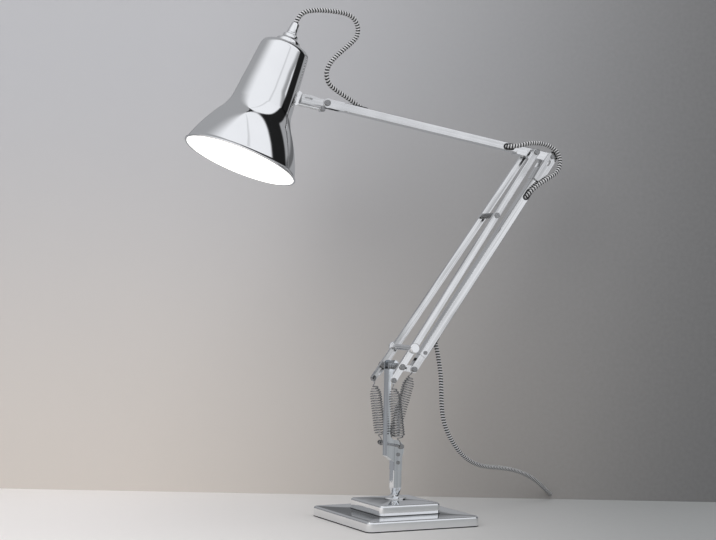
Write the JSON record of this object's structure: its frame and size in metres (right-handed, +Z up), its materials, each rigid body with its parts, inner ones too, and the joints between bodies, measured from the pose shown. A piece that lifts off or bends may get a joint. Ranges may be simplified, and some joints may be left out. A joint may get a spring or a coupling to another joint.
{
  "type": "desk lamp",
  "caption": "Sprung desk lamp: a bell shade on two arms kept parallel by a crank and a rear link, on a stepped square base, with a braided cord.",
  "frame": {"origin": "centre of the base's underside, on the stem's axis", "axes": "+Z up, the arms lie in the XZ plane, the shade points to -X and the elbow leans to +X"},
  "size_m": [0.6686, 0.3389, 0.6906],
  "materials": {
    "chrome": "polished nickel and chrome plate",
    "steel": "bright turned steel",
    "spring_wire": "bright spring wire",
    "weight": "plain black casting",
    "pad": "matt black",
    "rubber": "smooth black",
    "braid": "black and white herringbone braid",
    "black_plastic": "moulded black",
    "brass": "plain pins",
    "bulb_glass": "frosted white glass"
  },
  "bodies": {
    "base": {"base_pad": "pad", "base_lower_cover": "chrome", "base_upper_cover": "chrome", "base_weight": "weight", "base_collar": "chrome", "cord_drop": "braid", "cord_coil": "braid", "cord_tail": "braid", "plug_body": "black_plastic", "plug_pins": "brass"},
    "stem": {"stem_bar": "chrome", "stem_washer": "steel", "stem_nut": "steel", "upright": "chrome", "stem_rivets": "chrome", "spring_anchor_pin": "steel", "spring_near": "spring_wire", "spring_far": "spring_wire", "spring_rear": "spring_wire"},
    "lower_arm": {"lower_bar_near": "chrome", "lower_bar_far": "chrome", "shoulder_bolt": "steel", "shoulder_spacers": "steel", "cross_rod": "chrome", "cross_rod_discs": "chrome", "spring_top_pins": "steel", "arm_spacer": "chrome", "elbow_bolt": "steel", "elbow_spacers": "steel"},
    "crank": {"crank_plate_near": "chrome", "crank_plate_far": "chrome", "crank_bush": "steel", "crank_pin": "steel"},
    "rear_link": {"rear_link_foot": "chrome", "rear_link_tube": "chrome", "rear_link_head": "chrome", "rear_link_pin": "steel", "rear_link_screws": "steel", "link_upper_grommet": "rubber", "link_lower_grommet": "rubber", "cord_in_rear_link": "braid"},
    "upper_arm": {"upper_arm_tube": "chrome", "elbow_saddle": "chrome", "arm_rear_grommet": "rubber", "arm_front_grommet": "rubber", "arm_fork": "chrome", "head_pin": "steel", "cord_in_upper_arm": "braid", "cord_elbow_loop": "braid"},
    "head": {"head_arm": "chrome", "shade_block": "chrome", "head_stay": "chrome", "head_stay_knob": "chrome", "shade": "chrome", "vent_cap": "chrome", "cord_grip": "black_plastic", "lamp_holder": "black_plastic", "holder_nipple": "steel", "bulb": "bulb_glass", "cord_head_loop": "braid"}
  },
  "joints": [
    {"name": "base_swivel", "type": "hinge", "parent": "base", "child": "stem", "pos_m": [0, 0, 0.0385], "axis": [0, 0, 1], "range_deg": [-170, 170], "deforming": ["cord_drop"]},
    {"name": "shoulder", "type": "hinge", "parent": "stem", "child": "lower_arm", "pos_m": [-0.0085, 0, 0.212], "axis": [0, 1, 0], "range_deg": [-40, 20], "deforming": ["spring_near", "spring_far", "spring_rear", "cord_drop"]},
    {"name": "elbow", "type": "hinge", "parent": "lower_arm", "child": "upper_arm", "pos_m": [0.21068, 0, 0.51591], "axis": [0, 1, 0], "range_deg": [-25, 50], "deforming": ["spring_rear", "cord_elbow_loop", "cord_drop"]},
    {"name": "crank_turn", "type": "hinge", "parent": "lower_arm", "child": "crank", "pos_m": [-0.0085, 0, 0.212], "axis": [0, 1, 0], "range_deg": [-25, 50], "deforming": ["spring_rear"]},
    {"name": "link_turn", "type": "hinge", "parent": "upper_arm", "child": "rear_link", "pos_m": [0.24285, 0, 0.51125], "axis": [0, 1, 0], "range_deg": [-50, 25], "deforming": ["cord_elbow_loop", "cord_drop"]},
    {"name": "head_tilt", "type": "hinge", "parent": "upper_arm", "child": "head", "pos_m": [-0.11739, 0, 0.56342], "axis": [0, 1, 0], "range_deg": [-30, 60], "deforming": ["cord_head_loop"]}
  ],
  "couplings": [
    {"joint": "crank_turn", "follows": "elbow", "ratio": 1},
    {"joint": "link_turn", "follows": "elbow", "ratio": -1}
  ]
}
